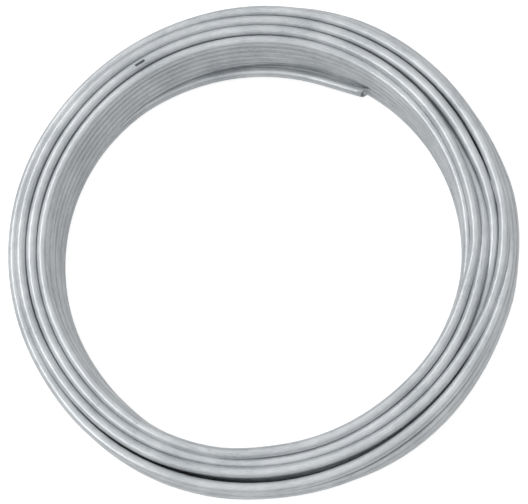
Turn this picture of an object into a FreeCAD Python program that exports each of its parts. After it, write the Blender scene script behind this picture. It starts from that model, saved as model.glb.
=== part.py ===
import FreeCAD, Part
import math
import os

# Coil of soft aluminium tube, lying flat. The axis of the coil is +Z, and the origin is the centre of
# its footprint on the floor. Sizes are in millimetres and angles in degrees.

# the tube
tube_diameter = 12.0
tube_wall = 1.0

# the winding
eye_radius = 231.0         # from the axis to the innermost turns
turns_across = 4           # turns side by side in the top and bottom layers
turns_high = 7             # layers on top of each other
turn_gap = 0.1             # air between two turns that lie side by side
bulge = 16.0               # how far the middle layers reach out past the top and bottom ones
groove_depth = 4.0         # from the crest of a turn down to the core, in the groove beside it

# the loose inner end of the tube
leave_angle = 143.0        # where it leaves the innermost turn, seen from above
leave_turn_in = 4.25       # how far it has turned inwards there
lift_angle = 4.66          # slope of the plane in which it springs up off the floor
loose_sweep = 69.2         # how far round it still keeps the bend of the coil
straight_length = 55.0     # its straight tip

# sizes that follow from these
tube_radius = tube_diameter / 2
bore_radius = tube_radius - tube_wall
turn_pitch = tube_diameter + turn_gap
inner_row = eye_radius + tube_radius
outer_row = inner_row + (turns_across - 1) * turn_pitch
bottom_level = tube_radius
top_level = bottom_level + (turns_high - 1) * tube_diameter

up = FreeCAD.Vector(0, 0, 1)
section_normal = FreeCAD.Vector(0, -1, 0)
full_turn = 360


def section_disc(radius, level):
    """Return the round face that one turn shows in the section of the coil."""
    centre = FreeCAD.Vector(radius, 0, level)
    return Part.Face(Part.Wire([Part.makeCircle(tube_radius, centre, section_normal)]))


def section_box(inner, outer, bottom, top):
    """Return a rectangular face in the section of the coil."""
    corners = [(inner, bottom), (outer, bottom), (outer, top), (inner, top), (inner, bottom)]
    return Part.Face(Part.makePolygon([FreeCAD.Vector(radius, 0, level) for radius, level in corners]))


def visible_turns():
    """Return the radius and the level of each turn that shows on the outside of the coil."""
    turns = []
    for column in range(turns_across):
        radius = inner_row + column * turn_pitch
        turns.append((radius, bottom_level))
        turns.append((radius, top_level))
    for layer in range(1, turns_high - 1):
        level = bottom_level + layer * tube_diameter
        turns.append((inner_row, level))
        turns.append((outer_row + bulge, level))
    return turns


def coil_section():
    """Return half the section of the wound coil: a plain core with the outermost turns round it."""
    floor = bottom_level - tube_radius + groove_depth
    ceiling = top_level + tube_radius - groove_depth
    inner = eye_radius + groove_depth
    outer = outer_row + tube_radius - groove_depth
    section = section_box(inner, outer, floor, ceiling)
    waist = section_box(inner, outer + bulge, floor + tube_diameter, ceiling - tube_diameter)
    discs = [section_disc(radius, level) for radius, level in visible_turns()]
    return section.multiFuse([waist] + discs).removeSplitter().Faces[0]


def loose_path():
    """Return the path of the loose end, an arc and then a straight tip, with its two end frames."""
    angle = math.radians(leave_angle)
    outwards = FreeCAD.Vector(math.cos(angle), math.sin(angle), 0)
    start = outwards * inner_row + up * bottom_level
    along = FreeCAD.Vector(math.sin(angle), -math.cos(angle), 0)
    lift = math.radians(lift_angle)
    across = outwards * -math.cos(lift) + up * math.sin(lift)
    turned = math.radians(leave_turn_in)
    heading = along * math.cos(turned) + across * math.sin(turned)
    inwards = across * math.cos(turned) - along * math.sin(turned)
    centre = start + inwards * inner_row

    def on_arc(degrees):
        swept = math.radians(degrees)
        return centre - inwards * inner_row * math.cos(swept) + heading * inner_row * math.sin(swept)

    bend_end = on_arc(loose_sweep)
    swept = math.radians(loose_sweep)
    tip_heading = heading * math.cos(swept) + inwards * math.sin(swept)
    tip = bend_end + tip_heading * straight_length
    arc = Part.Arc(start, on_arc(loose_sweep / 2), bend_end).toShape()
    straight = Part.LineSegment(bend_end, tip).toShape()
    return Part.Wire([arc, straight]), start, heading, tip, tip_heading


def swept_tube(path, start, heading, radius):
    """Return a round bar of the given radius that follows the path."""
    profile = Part.Wire([Part.makeCircle(radius, start, heading)])
    return path.makePipeShell([profile], True, True)


path, start, heading, tip, tip_heading = loose_path()
winding = coil_section().revolve(FreeCAD.Vector(0, 0, 0), up, full_turn)
loose_end = swept_tube(path, start, heading, tube_radius)
bore = swept_tube(path, start, heading, bore_radius)
tube_coil = winding.fuse(loose_end).cut(bore)

box = tube_coil.optimalBoundingBox()
print("solids", len(tube_coil.Solids), "valid", tube_coil.isValid())
print("across %.2f x %.2f, high %.2f" % (box.XLength, box.YLength, box.ZLength))
print("tip at %.3f %.3f %.3f" % (tip.x, tip.y, tip.z))
print("tip heading %.5f %.5f %.5f" % (tip_heading.x, tip_heading.y, tip_heading.z))
print("volume %.1f" % tube_coil.Volume)

os.makedirs("parts", exist_ok=True)
tube_coil.Solids[0].exportStep("parts/tube_coil.step")
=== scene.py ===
import bpy
import math
from mathutils import Matrix, Quaternion, Vector


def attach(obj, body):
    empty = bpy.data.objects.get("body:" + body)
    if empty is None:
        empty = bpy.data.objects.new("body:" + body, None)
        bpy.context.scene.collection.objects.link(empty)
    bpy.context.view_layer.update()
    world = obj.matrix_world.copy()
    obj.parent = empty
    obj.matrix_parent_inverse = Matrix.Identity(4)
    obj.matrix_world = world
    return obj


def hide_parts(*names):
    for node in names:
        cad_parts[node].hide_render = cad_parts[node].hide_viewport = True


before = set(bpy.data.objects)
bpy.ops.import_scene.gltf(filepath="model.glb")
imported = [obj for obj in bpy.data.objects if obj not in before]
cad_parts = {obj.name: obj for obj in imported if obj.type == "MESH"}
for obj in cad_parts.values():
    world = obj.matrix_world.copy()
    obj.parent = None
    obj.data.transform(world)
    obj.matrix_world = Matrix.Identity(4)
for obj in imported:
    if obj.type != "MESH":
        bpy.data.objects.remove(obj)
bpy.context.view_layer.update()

mm = 0.001

# the tube and the way it is wound, in millimetres and degrees; angles run anticlockwise from +X
tube = {
    "diameter": 12.0,
    "wall": 1.0,
    "sides": 24,         # a multiple of four, so that the rings of the end faces meet the skin
    "boreDepth": 70.0,   # how far the open ends are really hollow
    "step": 3.0,         # degrees from one ring of the mesh to the next
}
winding = {
    "columns": [237.0, 249.3, 261.8],  # radii of the three inner columns of turns
    "columnCount": 4,
    "rows": 7,
    "rowPitch": 12.0,
    "outerPitch": (11.8, 11.0),  # the outermost column sinks a little where its top turn nests
    "outerSunk": (85, 200),      # the angles where it does
    "eyeStagger": 0.35,
    "eyeLean": 1.2,      # the wall of the eye leans in at its foot by this much
    "outerStagger": 1.0,
    "drawnIn": [0.0, 1.4, 3.8],  # how far the inner columns draw in
    "drawnInMiddle": 270,        # the angle where they draw in most
    "drawnInSpan": 60,           # degrees to each side of it
    "firmRows": 2,       # the third column doesn't draw in as far up as this row
    "sag": 0.07,         # the second column comes down by this share of its height as it draws in
    "wander": 0.3,       # how far a hidden turn strays from its column
    "turn": 360,
}

# radius of the innermost column below the top, seldom quite round
eyeWall = [(150, 235.2), (200, 234.6), (215, 233.8), (228, 234.4), (240, 237.0), (250, 238.3), (262, 238.2),
           (278, 236.5), (305, 236.6), (330, 237.5), (345, 237.5)]
# the climb of that column onto its next row: how far the first and the last turn still have to rise
eyeClimb = [(5, 12.0, 9.0), (25, 12.0, 8.0), (50, 12.0, 5.0), (80, 10.5, 1.0), (97, 5.2, 0.3),
            (107, 1.8, 0.0), (125, 0.2, 0.0)]
# radius of the outermost column at its foot and at its shoulder, which bulges at the crossover
outerWall = [(10, 286.0, 287.8), (20, 284.0, 285.2), (30, 282.5, 283.3), (45, 280.5, 282.0),
             (62, 277.5, 280.0), (90, 274.0, 274.5), (130, 272.0, 272.0), (180, 270.5, 270.5),
             (215, 271.0, 271.0),
             (240, 275.0, 275.6), (250, 274.8, 277.6), (260, 274.0, 278.6), (270, 272.6, 278.3),
             (280, 271.4, 277.8), (290, 272.4, 279.2), (300, 275.2, 282.2), (310, 277.6, 284.0),
             (320, 279.2, 284.2), (330, 280.2, 284.0), (340, 282.2, 284.4), (348, 284.4, 286.4)]

# the turns that show from above wander, and cross over each other near 0 degrees:
# (angle, radius, height of the tube's centre)
topTurns = {
    6: [(5, 237.0, 69.0), (25, 237.0, 70.0), (50, 237.2, 73.0), (80, 236.8, 77.0), (110, 236.0, 78.0),
        (150, 236.5, 78.0), (180, 238.0, 78.0), (215, 236.2, 78.0), (245, 239.3, 78.0), (260, 239.6, 77.5),
        (278, 236.8, 78.0), (305, 236.8, 78.0), (330, 239.2, 78.0), (344, 240.2, 78.0)],
    7: [(0, 245.2, 78.0), (20, 244.8, 78.0), (35, 246.0, 78.0), (60, 247.5, 78.0), (90, 249.4, 78.0),
        (140, 249.5, 78.0), (175, 250.5, 78.0), (215, 248.3, 78.0), (240, 249.6, 77.0), (262, 249.0, 73.5),
        (285, 247.9, 73.0), (305, 248.7, 76.0), (330, 251.6, 78.0), (344, 252.3, 78.0)],
    8: [(5, 254.8, 71.0), (20, 252.5, 68.5), (40, 250.5, 66.8), (65, 249.3, 66.0), (110, 249.3, 66.0),
        (200, 249.3, 66.0), (250, 248.4, 63.5), (290, 247.6, 61.8), (330, 249.3, 66.0)],
    19: [(35, 261.8, 66.0), (110, 261.8, 66.0), (200, 261.8, 66.0), (240, 258.5, 66.0), (275, 257.3, 65.5),
         (300, 258.2, 65.8), (330, 260.2, 66.4), (337, 261.3, 68.3)],
    20: [(-18, 262.0, 69.8), (-8, 263.4, 70.6), (5, 265.8, 71.8), (14, 264.6, 74.6), (24, 261.6, 77.3),
         (36, 261.0, 78.0), (60, 260.8, 78.0), (105, 261.2, 78.0), (140, 262.2, 78.0), (165, 263.3, 78.0),
         (190, 262.5, 78.0), (217, 260.6, 78.0), (245, 261.3, 78.0), (262, 259.4, 78.0), (280, 258.8, 78.0),
         (305, 260.6, 78.0), (330, 264.7, 78.0), (337, 267.8, 78.0), (344, 271.0, 78.0)],
    21: [(-4, 275.2, 78.0), (8, 277.2, 78.0), (20, 276.0, 78.0), (35, 274.9, 78.0), (60, 273.7, 78.0),
         (75, 273.4, 78.0), (90, 273.2, 77.5), (110, 272.4, 74.8), (140, 272.2, 72.0), (165, 273.0, 72.0),
         (190, 271.6, 74.0), (212, 271.4, 74.0), (230, 273.8, 77.0), (245, 275.3, 78.0), (275, 275.5, 78.0),
         (305, 275.2, 78.0), (330, 277.8, 78.0), (344, 281.0, 77.0)],
    22: [(-7, 283.2, 73.0), (2, 283.0, 69.5), (10, 282.8, 67.2), (18, 281.4, 66.2), (30, 281.0, 66.5),
         (45, 281.3, 68.0), (60, 281.3, 68.4), (75, 279.6, 67.0), (90, 276.0, 64.0), (110, 273.0, 61.5),
         (130, 271.5, 60.5), (180, 270.5, 61.0), (215, 271.5, 62.0), (240, 276.4, 64.8), (250, 278.6, 65.4),
         (270, 279.4, 65.4), (300, 282.2, 65.4), (330, 283.8, 65.2), (344, 285.0, 64.4)],
}

# the loose inner end, as the CAD part has it
looseEnd = {
    "angle": 143.0,
    "turnIn": 4.25,
    "lift": 4.66,
    "sweep": 69.2,
    "straight": 55.0,
    "radius": 237.0,
    "straightSteps": 8,
    "joinSweep": 14.0,   # how much of the bend is left to the winding
    "joinGap": 12.0,     # degrees without a key, in which the bend runs into the first turn
    "cutSlant": (0.6, 0.22),  # the cut leans back this much towards the eye and towards the top
    "cutAhead": 5.0,         # the side next to the winding is this much longer
    "slantDepth": 32.0,      # how far back along the tube the slant fades out
    "slantPast": 1.1,        # it still takes in points just past the cut, as a share of the depth
    "slantRound": 1.05,      # and this many radii round the tube's axis
}
outerEndAngle = 252      # where the tube ends, low down on the outside


def looseEndPoints():
    angle = math.radians(looseEnd["angle"])
    outwards = Vector((math.cos(angle), math.sin(angle), 0))
    along = Vector((math.sin(angle), -math.cos(angle), 0))
    lift = math.radians(looseEnd["lift"])
    across = Vector((-outwards.x * math.cos(lift), -outwards.y * math.cos(lift), math.sin(lift)))
    turned = math.radians(looseEnd["turnIn"])
    heading = along * math.cos(turned) + across * math.sin(turned)
    inwards = across * math.cos(turned) - along * math.sin(turned)
    start = outwards * looseEnd["radius"] + Vector((0, 0, tube["diameter"] / 2))
    centre = start + inwards * looseEnd["radius"]

    def onArc(degrees):
        swept = math.radians(degrees)
        return centre + (heading * math.sin(swept) - inwards * math.cos(swept)) * looseEnd["radius"]

    swept = math.radians(looseEnd["sweep"])
    tipHeading = heading * math.cos(swept) + inwards * math.sin(swept)
    bendEnd = onArc(looseEnd["sweep"])
    steps = looseEnd["straightSteps"]
    points = [bendEnd + tipHeading * looseEnd["straight"] * part / steps for part in range(steps, 0, -1)]
    degrees = looseEnd["sweep"]
    while degrees > looseEnd["joinSweep"]:
        points.append(onArc(degrees))
        degrees -= tube["step"]
    return points


def plainTurn(turn):
    # a turn that hardly shows: it keeps to its column and row, and moves on a row at the crossover
    rows = winding["rows"]
    column = turn // rows
    row = turn % rows if column % 2 == 0 else rows - 1 - turn % rows
    height = tube["diameter"] / 2 + row * winding["rowPitch"]
    if column == 0:
        middleRow = (rows - 1) / 2
        stagger = winding["eyeStagger"] * (1 if row % 2 == 0 else -1)
        stagger += winding["eyeLean"] * (row / middleRow - 1)
        keys = []
        if row > 0:
            share = (row - 1) / (rows - 2)
            for angle, first, last in eyeClimb:
                below = first + (last - first) * share
                keys.append((angle, winding["columns"][0], height - below))
        return keys + [(angle, radius + stagger, height) for angle, radius in eyeWall]
    if column == winding["columnCount"] - 1:
        stagger = winding["outerStagger"] * (1 if row % 2 == 0 else -1)
        share = min(1.0, row / (rows - 2))
        keys = []
        for angle, foot, shoulder in outerWall:
            sunk = winding["outerSunk"][0] < angle < winding["outerSunk"][1]
            height = tube["diameter"] / 2 + row * winding["outerPitch"][1 if sunk else 0]
            keys.append((angle, foot + (shoulder - foot) * share + stagger, height))
        return keys
    radius = winding["columns"][column]
    keys = []
    for angle in range(50, 331, 40):
        drawnIn = max(0.0, 1 - abs(angle - winding["drawnInMiddle"]) / winding["drawnInSpan"])
        if column == 2 and row <= winding["firmRows"]:
            drawnIn = 0.0
        lower = winding["sag"] * (height - tube["diameter"] / 2) * drawnIn if column == 1 else 0.0
        inwards = winding["drawnIn"][column] * drawnIn
        stray = winding["wander"] * math.sin(turn * 2.1 + angle)  # a different wave for every turn
        keys.append((angle, radius - inwards + stray, height - lower))
    return keys


def windingKeys(firstAngle):
    keys = []
    for turn in range(winding["columnCount"] * winding["rows"]):
        for angle, radius, height in topTurns.get(turn, plainTurn(turn)):
            keys.append((turn * winding["turn"] + angle, radius, height))
    return [key for key in keys if key[0] > firstAngle + looseEnd["joinGap"]]


def slopes(places, values):
    # slopes that never overshoot a key, so that no turn swings into its neighbour
    secants = [(values[i + 1] - values[i]) / (places[i + 1] - places[i]) for i in range(len(values) - 1)]
    inner = []
    for before, after in zip(secants, secants[1:]):
        inner.append(0.0 if before * after <= 0 else 2 * before * after / (before + after))
    return [secants[0]] + inner + [secants[-1]]


def between(places, values, tangents, index, place):
    # the smooth curve through the keys before and after this place
    span = places[index + 1] - places[index]
    part = (place - places[index]) / span
    square, cube = part * part, part * part * part
    return (values[index] * (2 * cube - 3 * square + 1) + values[index + 1] * (3 * square - 2 * cube)
            + tangents[index] * span * (cube - 2 * square + part)
            + tangents[index + 1] * span * (cube - square))


def tubeRoute():
    points = looseEndPoints()
    joinKeys = []
    for point in points[-2:]:
        joinKeys.append((math.degrees(math.atan2(point.y, point.x)), math.hypot(point.x, point.y), point.z))
    keys = joinKeys + windingKeys(joinKeys[-1][0])
    places, radii, heights = zip(*keys)
    radiusSlopes = slopes(places, radii)
    heightSlopes = slopes(places, heights)
    lastTurn = winding["columnCount"] * winding["rows"] - 1
    lastPlace = lastTurn * winding["turn"] + outerEndAngle
    place = joinKeys[-1][0] + tube["step"]
    index = 1
    while place < lastPlace:
        while places[index + 1] < place:
            index += 1
        radius = between(places, radii, radiusSlopes, index, place)
        height = between(places, heights, heightSlopes, index, place)
        angle = math.radians(place)
        points.append(Vector((radius * math.cos(angle), radius * math.sin(angle), height)))
        place += tube["step"]
    return points


def routeCurve(points):
    data = bpy.data.curves.new("tubeRoute", "CURVE")
    data.dimensions = "3D"
    data.twist_mode = "Z_UP"  # the same start for every ring, so that the end faces meet the skin
    spline = data.splines.new("POLY")
    spline.points.add(len(points) - 1)
    for point, place in zip(spline.points, points):
        point.co = (place.x * mm, place.y * mm, place.z * mm, 1)
    route = bpy.data.objects.new("tubeRoute", data)
    bpy.context.scene.collection.objects.link(route)
    return route


def linearColour(hexCode):
    channels = []
    for start in (0, 2, 4):
        value = int(hexCode[start:start + 2], 16) / 255
        channels.append(value / 12.92 if value <= 0.04045 else ((value + 0.055) / 1.055) ** 2.4)
    return (*channels, 1.0)


def addNode(tree, kind, settings=None, links=None):
    node = tree.nodes.new(kind)
    for name, value in (settings or {}).items():
        if isinstance(name, str) and hasattr(node, name):
            setattr(node, name, value)
        else:
            node.inputs[name].default_value = value
    for name, socket in (links or {}).items():
        tree.links.new(socket, node.inputs[name])
    return node


def drawnTubeTree():
    # sweeps a hollow tube along a curve: skin, bore at each end, cut faces and blind ends
    tree = bpy.data.node_groups.new("drawnTube", "GeometryNodeTree")
    face = tree.interface
    face.new_socket("Route", in_out="INPUT", socket_type="NodeSocketGeometry")
    for name in ("Outside Radius", "Bore Radius", "Bore Depth"):
        face.new_socket(name, in_out="INPUT", socket_type="NodeSocketFloat")
    face.new_socket("Sides", in_out="INPUT", socket_type="NodeSocketInt")
    face.new_socket("Material", in_out="INPUT", socket_type="NodeSocketMaterial")
    face.new_socket("Tube", in_out="OUTPUT", socket_type="NodeSocketGeometry")
    given = tree.nodes.new("NodeGroupInput").outputs
    result = tree.nodes.new("NodeGroupOutput")

    # how far along the tube each point is, for the material
    length = addNode(tree, "GeometryNodeSplineParameter")
    route = addNode(tree, "GeometryNodeStoreNamedAttribute",
                    {"data_type": "FLOAT", "domain": "POINT", "Name": "along"},
                    {"Geometry": given["Route"], "Value": length.outputs["Length"]})

    def ringCurve(radius):
        ring = addNode(tree, "GeometryNodeCurvePrimitiveCircle", {"mode": "RADIUS"},
                       {"Resolution": given["Sides"], "Radius": radius})
        place = addNode(tree, "GeometryNodeInputPosition")
        outwards = addNode(tree, "ShaderNodeVectorMath", {"operation": "NORMALIZE"},
                           {0: place.outputs["Position"]})
        marked = addNode(tree, "GeometryNodeStoreNamedAttribute",
                         {"data_type": "FLOAT_VECTOR", "domain": "POINT", "Name": "around"},
                         {"Geometry": ring.outputs["Curve"], "Value": outwards.outputs["Vector"]})
        return marked.outputs["Geometry"]

    outerRing = ringCurve(given["Outside Radius"])
    boreRing = ringCurve(given["Bore Radius"])
    skin = addNode(tree, "GeometryNodeCurveToMesh", {},
                   {"Curve": route.outputs["Geometry"], "Profile Curve": outerRing})

    rings = addNode(tree, "GeometryNodeJoinGeometry")
    tree.links.new(outerRing, rings.inputs["Geometry"])
    tree.links.new(boreRing, rings.inputs["Geometry"])
    cutFace = addNode(tree, "GeometryNodeFillCurve", {"mode": "TRIANGLES"},
                      {"Curve": rings.outputs["Geometry"]})
    blindFace = addNode(tree, "GeometryNodeFillCurve", {"mode": "TRIANGLES"}, {"Curve": boreRing})

    def shaded(mesh, smooth):
        return addNode(tree, "GeometryNodeSetShadeSmooth", {"Shade Smooth": smooth},
                       {"Geometry": mesh}).outputs["Geometry"]

    pieces = [shaded(skin.outputs["Mesh"], True)]
    total = addNode(tree, "GeometryNodeCurveLength", {}, {"Curve": route.outputs["Geometry"]})
    farStart = addNode(tree, "ShaderNodeMath", {"operation": "SUBTRACT"},
                       {0: total.outputs["Length"], 1: given["Bore Depth"]})
    for startEnd in (True, False):
        bore = addNode(tree, "GeometryNodeTrimCurve", {"mode": "LENGTH"},
                       {"Curve": route.outputs["Geometry"]})
        trimFrom = [socket for socket in bore.inputs if socket.name == "Start" and socket.enabled][-1]
        trimTo = [socket for socket in bore.inputs if socket.name == "End" and socket.enabled][-1]
        trimFrom.default_value = 0.0
        if startEnd:
            tree.links.new(given["Bore Depth"], trimTo)
        else:
            tree.links.new(farStart.outputs["Value"], trimFrom)
            tree.links.new(total.outputs["Length"], trimTo)
        boreWall = addNode(tree, "GeometryNodeCurveToMesh", {},
                           {"Curve": bore.outputs["Curve"], "Profile Curve": boreRing})
        inside = addNode(tree, "GeometryNodeFlipFaces", {}, {"Mesh": boreWall.outputs["Mesh"]})
        pieces.append(shaded(inside.outputs["Mesh"], True))
        for openEnd in (True, False):
            # one face at the cut, one at the blind end of the bore
            first = startEnd if openEnd else not startEnd
            ends = addNode(tree, "GeometryNodeCurveEndpointSelection",
                           {"Start Size": 1 if first else 0, "End Size": 0 if first else 1})
            marked = addNode(tree, "GeometryNodeStoreNamedAttribute",
                             {"data_type": "FLOAT", "domain": "POINT", "Name": "endHere"},
                             {"Geometry": bore.outputs["Curve"], "Value": ends.outputs["Selection"]})
            spots = addNode(tree, "GeometryNodeCurveToPoints", {"mode": "EVALUATED"},
                            {"Curve": marked.outputs["Geometry"]})
            here = addNode(tree, "GeometryNodeInputNamedAttribute", {"data_type": "FLOAT", "Name": "endHere"})
            placed = addNode(tree, "GeometryNodeInstanceOnPoints", {},
                             {"Points": spots.outputs["Points"], "Selection": here.outputs["Attribute"],
                              "Instance": (cutFace if openEnd else blindFace).outputs["Mesh"],
                              "Rotation": spots.outputs["Rotation"]})
            solid = addNode(tree, "GeometryNodeRealizeInstances", {},
                            {"Geometry": placed.outputs["Instances"]})
            outward = solid.outputs["Geometry"]
            if startEnd:
                outward = addNode(tree, "GeometryNodeFlipFaces", {}, {"Mesh": outward}).outputs["Mesh"]
            pieces.append(shaded(outward, False))

    joined = addNode(tree, "GeometryNodeJoinGeometry")
    for piece in pieces:
        tree.links.new(piece, joined.inputs["Geometry"])
    real = addNode(tree, "GeometryNodeRealizeInstances", {}, {"Geometry": joined.outputs["Geometry"]})
    # only the open ends are welded, because the turns themselves touch without joining
    weld = {"margin": 5 * mm, "distance": 0.01 * mm}
    where = addNode(tree, "GeometryNodeInputNamedAttribute", {"data_type": "FLOAT", "Name": "along"})
    half = addNode(tree, "ShaderNodeMath", {"operation": "MULTIPLY", 1: 0.5}, {0: total.outputs["Length"]})
    fromMiddle = addNode(tree, "ShaderNodeMath", {"operation": "SUBTRACT"},
                         {0: where.outputs["Attribute"], 1: half.outputs["Value"]})
    away = addNode(tree, "ShaderNodeMath", {"operation": "ABSOLUTE"}, {0: fromMiddle.outputs["Value"]})
    nearEnds = addNode(tree, "ShaderNodeMath", {"operation": "SUBTRACT"},
                       {0: half.outputs["Value"], 1: given["Bore Depth"]})
    margin = addNode(tree, "ShaderNodeMath", {"operation": "SUBTRACT", 1: weld["margin"]},
                     {0: nearEnds.outputs["Value"]})
    atEnds = addNode(tree, "ShaderNodeMath", {"operation": "GREATER_THAN"},
                     {0: away.outputs["Value"], 1: margin.outputs["Value"]})
    welded = addNode(tree, "GeometryNodeMergeByDistance", {"Distance": weld["distance"]},
                     {"Geometry": real.outputs["Geometry"], "Selection": atEnds.outputs["Value"]})
    coated = addNode(tree, "GeometryNodeSetMaterial", {},
                     {"Geometry": welded.outputs["Geometry"], "Material": given["Material"]})
    tree.links.new(coated.outputs["Geometry"], result.inputs["Tube"])
    return tree


def softAluminium():
    # annealed drawn aluminium: a pale grey satin with a faint grain along the tube left by the die
    finish = {
        "colour": "D7DADC",
        "darkColour": "B2B7BB",
        "metallic": 0.45,      # the rest stands for the dull oxide that spreads the light
        "roughness": 0.29,
        "polish": (-0.03, 0.05),  # how much the grain lowers or raises the roughness
        "grainWidth": 0.9,     # mm across the tube, coarser than the real die lines so that it shows
        "grainLength": 9.0,    # mm along the tube
        "grainDepth": 0.03,    # mm
        "contrast": (0.36, 0.64),  # the part of the grain and the patches that spans both colours
        "mottleSize": 45.0,    # mm, the soft patches left by handling
        "tickPlace": (-132.7, 210.6, 84.0),  # mm, a short stroke of dark ink on one of the top turns
        "tickAngle": 32.0,
        "tickSize": (12.5, 3.0, 8.0),
        "ink": "4A4E52",
    }
    material = bpy.data.materials.new("drawnAluminium")
    material.use_nodes = True
    tree = material.node_tree
    shader = tree.nodes["Principled BSDF"]
    shader.inputs["Metallic"].default_value = finish["metallic"]
    along = addNode(tree, "ShaderNodeAttribute", {"attribute_name": "along"})
    around = addNode(tree, "ShaderNodeAttribute", {"attribute_name": "around"})
    # a place on the unrolled skin: round the tube in x and y, along it in z
    radius = tube["diameter"] / 2
    skin = addNode(tree, "ShaderNodeVectorMath",
                   {"operation": "SCALE", "Scale": radius / finish["grainWidth"]},
                   {0: around.outputs["Vector"]})
    stretched = addNode(tree, "ShaderNodeMath",
                        {"operation": "MULTIPLY", 1: 1 / (finish["grainLength"] * mm)},
                        {0: along.outputs["Fac"]})
    grainPlace = addNode(tree, "ShaderNodeCombineXYZ", {}, {"Z": stretched.outputs["Value"]})
    grainSpot = addNode(tree, "ShaderNodeVectorMath", {"operation": "ADD"},
                        {0: skin.outputs["Vector"], 1: grainPlace.outputs["Vector"]})
    grain = addNode(tree, "ShaderNodeTexNoise",
                    {"noise_dimensions": "3D", "Scale": 1.0, "Detail": 3.0, "Roughness": 0.6},
                    {"Vector": grainSpot.outputs["Vector"]})
    place = addNode(tree, "ShaderNodeTexCoord")
    mottle = addNode(tree, "ShaderNodeTexNoise",
                     {"Scale": 1 / (finish["mottleSize"] * mm), "Detail": 4.0, "Roughness": 0.55},
                     {"Vector": place.outputs["Object"]})
    # grain and patches count for a half each
    patchiness = addNode(tree, "ShaderNodeMath", {"operation": "MULTIPLY", 1: 0.5},
                         {0: mottle.outputs["Fac"]})
    tone = addNode(tree, "ShaderNodeMath", {"operation": "MULTIPLY_ADD", 1: 0.5},
                   {0: grain.outputs["Fac"], 2: patchiness.outputs["Value"]})
    low, high = finish["contrast"]
    contrast = addNode(tree, "ShaderNodeMapRange", {"From Min": low, "From Max": high},
                       {"Value": tone.outputs["Value"]})
    colour = addNode(tree, "ShaderNodeMix", {"data_type": "RGBA"}, {"Factor": contrast.outputs["Result"]})
    colourSockets = [socket for socket in colour.inputs if socket.type == "RGBA"]
    colourSockets[0].default_value = linearColour(finish["darkColour"])
    colourSockets[1].default_value = linearColour(finish["colour"])
    mixed = [socket for socket in colour.outputs if socket.type == "RGBA"][0]
    # the ink stroke, placed and turned on the object's own coordinates
    tickPlace = addNode(tree, "ShaderNodeMapping",
                        {"vector_type": "TEXTURE", "Location": [part * mm for part in finish["tickPlace"]],
                         "Rotation": (0, 0, math.radians(finish["tickAngle"]))},
                        {"Vector": place.outputs["Object"]})
    tickSides = addNode(tree, "ShaderNodeSeparateXYZ", {}, {"Vector": tickPlace.outputs["Vector"]})
    tick = None
    for axis, size in zip("XYZ", finish["tickSize"]):
        away = addNode(tree, "ShaderNodeMath", {"operation": "ABSOLUTE"}, {0: tickSides.outputs[axis]})
        inside = addNode(tree, "ShaderNodeMath", {"operation": "LESS_THAN", 1: size / 2 * mm},
                         {0: away.outputs["Value"]})
        if tick is None:
            tick = inside
        else:
            tick = addNode(tree, "ShaderNodeMath", {"operation": "MULTIPLY"},
                           {0: tick.outputs["Value"], 1: inside.outputs["Value"]})
    inked = addNode(tree, "ShaderNodeMix", {"data_type": "RGBA"}, {"Factor": tick.outputs["Value"]})
    inkSockets = [socket for socket in inked.inputs if socket.type == "RGBA"]
    tree.links.new(mixed, inkSockets[0])
    inkSockets[1].default_value = linearColour(finish["ink"])
    marked = [socket for socket in inked.outputs if socket.type == "RGBA"][0]
    tree.links.new(marked, shader.inputs["Base Color"])
    smoother, rougher = finish["polish"]
    rough = addNode(tree, "ShaderNodeMapRange",
                    {"From Min": 0.3, "From Max": 0.7,
                     "To Min": finish["roughness"] + smoother, "To Max": finish["roughness"] + rougher},
                    {"Value": tone.outputs["Value"]})
    tree.links.new(rough.outputs["Result"], shader.inputs["Roughness"])
    bump = addNode(tree, "ShaderNodeBump", {"Strength": 0.15, "Distance": finish["grainDepth"] * mm},
                   {"Height": grain.outputs["Fac"]})
    tree.links.new(bump.outputs["Normal"], shader.inputs["Normal"])
    return material


def slantTheCut(mesh, points):
    # the loose end was nipped off at a slant, so the ring of the cut is drawn back on two sides
    tip = points[0] * mm
    heading = (points[0] - points[1]).normalized()
    inwards = Vector((-tip.x, -tip.y, 0)).normalized()
    inwards = (inwards - heading * inwards.dot(heading)).normalized()
    upwards = heading.cross(inwards)
    upwards = upwards if upwards.z > 0 else -upwards
    radius = tube["diameter"] / 2 * mm
    across, over = looseEnd["cutSlant"]
    for vertex in mesh.vertices:
        offset = vertex.co - tip
        share = 1 + offset.dot(heading) / (looseEnd["slantDepth"] * mm)
        fromAxis = (offset - heading * offset.dot(heading)).length
        if 0 < share < looseEnd["slantPast"] and fromAxis < radius * looseEnd["slantRound"]:
            back = across * (offset.dot(inwards) + radius) + over * (offset.dot(upwards) + radius)
            back -= looseEnd["cutAhead"] * mm
            vertex.co = vertex.co - heading * back * min(1.0, share)


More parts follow.
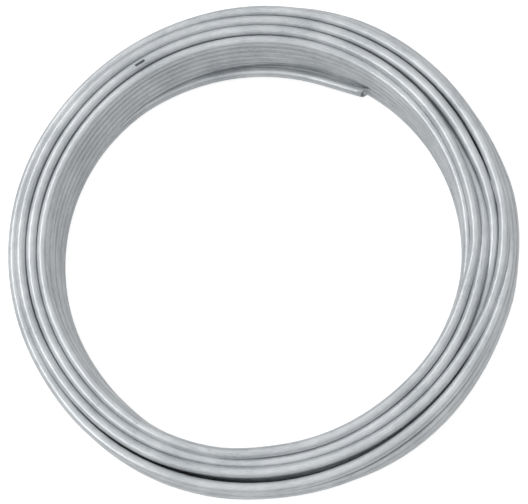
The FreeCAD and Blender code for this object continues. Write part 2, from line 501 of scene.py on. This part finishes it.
def makeCoil():
    points = tubeRoute()
    metres = sum((after - before).length for before, after in zip(points, points[1:])) * mm
    print("tube route: %d points, %.1f m" % (len(points), metres))
    route = routeCurve(points)
    tree = drawnTubeTree()
    sweep = route.modifiers.new("drawnTube", "NODES")
    sweep.node_group = tree
    sizes = {
        "Outside Radius": tube["diameter"] / 2 * mm,
        "Bore Radius": (tube["diameter"] / 2 - tube["wall"]) * mm,
        "Bore Depth": tube["boreDepth"] * mm,
        "Sides": tube["sides"],
        "Material": softAluminium(),
    }
    for socket in tree.interface.items_tree:
        if socket.in_out == "INPUT" and socket.name in sizes:
            sweep[socket.identifier] = sizes[socket.name]
    drawn = route.evaluated_get(bpy.context.evaluated_depsgraph_get())
    mesh = bpy.data.meshes.new_from_object(drawn, preserve_all_data_layers=True)
    slantTheCut(mesh, points)
    coil = bpy.data.objects.new("woundTube", mesh)
    bpy.context.scene.collection.objects.link(coil)
    bpy.data.objects.remove(route)
    mesh.name = "woundTube"
    triangles = sum(len(face.vertices) - 2 for face in mesh.polygons)
    print("wound tube: %d triangles" % triangles)
    return coil


coil = makeCoil()
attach(coil, "root")
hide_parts("tube_coil")


def paleFloor():
    # a white studio floor that glows for the camera, and less so in the metal
    floor = {"size": 12.0, "colour": "C8C8C8", "roughness": 0.9, "shine": 0.1, "glow": 0.72,
             "glowInMetal": 0.45}
    half = floor["size"] / 2
    mesh = bpy.data.meshes.new("studioFloor")
    corners = [(-half, -half, 0), (half, -half, 0), (half, half, 0), (-half, half, 0)]
    mesh.from_pydata(corners, [], [(0, 1, 2, 3)])
    plane = bpy.data.objects.new("studioFloor", mesh)
    bpy.context.scene.collection.objects.link(plane)
    material = bpy.data.materials.new("paleFloor")
    material.use_nodes = True
    tree = material.node_tree
    shader = tree.nodes["Principled BSDF"]
    shader.inputs["Base Color"].default_value = linearColour(floor["colour"])
    shader.inputs["Roughness"].default_value = floor["roughness"]
    shader.inputs["Specular IOR Level"].default_value = floor["shine"]
    ray = addNode(tree, "ShaderNodeLightPath")
    seen = addNode(tree, "ShaderNodeMath", {"operation": "MULTIPLY_ADD", 1: floor["glowInMetal"]},
                   {0: ray.outputs["Is Glossy Ray"], 2: ray.outputs["Is Camera Ray"]})
    glow = addNode(tree, "ShaderNodeMath", {"operation": "MULTIPLY", 1: floor["glow"]},
                   {0: seen.outputs["Value"]})
    shader.inputs["Emission Color"].default_value = (1, 1, 1, 1)
    tree.links.new(glow.outputs["Value"], shader.inputs["Emission Strength"])
    mesh.materials.append(material)


def studioLight():
    strip = {"direction": (-0.55, 0.06, 0.82), "distance": 3.0, "width": 0.09, "length": 3.6,
             "watts": 22.0}
    sky = {"brightSide": (-0.16, 0.1, 0.98), "fallOff": (-0.1, 0.85), "bright": 0.96, "dark": 0.24,
           "inMetal": 0.35}
    world = bpy.data.worlds.new("softStudio")
    world.use_nodes = True
    bpy.context.scene.world = world
    tree = world.node_tree
    background = tree.nodes["Background"]
    background.inputs["Color"].default_value = (1, 1, 1, 1)
    # a large soft overhead light, a little to the left, that falls off towards the walls of the studio
    place = addNode(tree, "ShaderNodeTexCoord")
    facing = addNode(tree, "ShaderNodeVectorMath", {"operation": "DOT_PRODUCT", 1: sky["brightSide"]},
                     {0: place.outputs["Generated"]})
    low, high = sky["fallOff"]
    overhead = addNode(tree, "ShaderNodeMapRange",
                       {"interpolation_type": "SMOOTHSTEP", "From Min": low, "From Max": high,
                        "To Min": sky["dark"], "To Max": sky["bright"]},
                       {"Value": facing.outputs["Value"]})
    # past the floor's edge the camera sees plain white, and the metal a paler wall
    ray = addNode(tree, "ShaderNodeLightPath")
    backdrop = addNode(tree, "ShaderNodeMath", {"operation": "MULTIPLY_ADD", 1: sky["inMetal"]},
                       {0: ray.outputs["Is Glossy Ray"], 2: ray.outputs["Is Camera Ray"]})
    shown = addNode(tree, "ShaderNodeMath", {"operation": "MAXIMUM"},
                    {0: overhead.outputs["Result"], 1: backdrop.outputs["Value"]})
    tree.links.new(shown.outputs["Value"], background.inputs["Strength"])
    # a long narrow strip light, which draws a fine bright line along each turn
    data = bpy.data.lights.new("stripLamp", "AREA")
    data.shape = "RECTANGLE"
    data.size = strip["width"]
    data.size_y = strip["length"]
    data.energy = strip["watts"]
    lamp = bpy.data.objects.new("stripLamp", data)
    towards = Vector(strip["direction"]).normalized()
    lengthways = (Vector((0, 1, 0)) - towards * towards.y).normalized()
    widthways = lengthways.cross(towards)
    lamp.location = towards * strip["distance"]
    lamp.rotation_euler = Matrix((widthways, lengthways, towards)).transposed().to_euler()
    bpy.context.scene.collection.objects.link(lamp)


def lookingDown():
    # nearly straight down, from a little towards -Y, and rolled so that +Y is up
    view = {"distance": 1.8137, "tilt": 16.35, "azimuth": -66.97, "roll": -23.03, "focal": 107.0,
            "shift": (0.0074, 0.0098)}
    tilt, azimuth = math.radians(view["tilt"]), math.radians(view["azimuth"])
    sideways = math.sin(tilt)
    direction = Vector((sideways * math.cos(azimuth), sideways * math.sin(azimuth), math.cos(tilt)))
    data = bpy.data.cameras.new("camera")
    data.lens = view["focal"]
    data.sensor_width = 36
    data.shift_x, data.shift_y = view["shift"]
    data.clip_end = 50
    camera = bpy.data.objects.new("camera", data)
    camera.location = direction * view["distance"]
    turn = Quaternion((0, 0, 1), math.radians(view["roll"]))
    camera.rotation_euler = (direction.to_track_quat("Z", "Y") @ turn).to_euler()
    bpy.context.scene.collection.objects.link(camera)
    bpy.context.scene.camera = camera


paleFloor()
studioLight()
lookingDown()
bpy.context.scene.view_settings.view_transform = "Standard"
print("floor, light and camera are set")
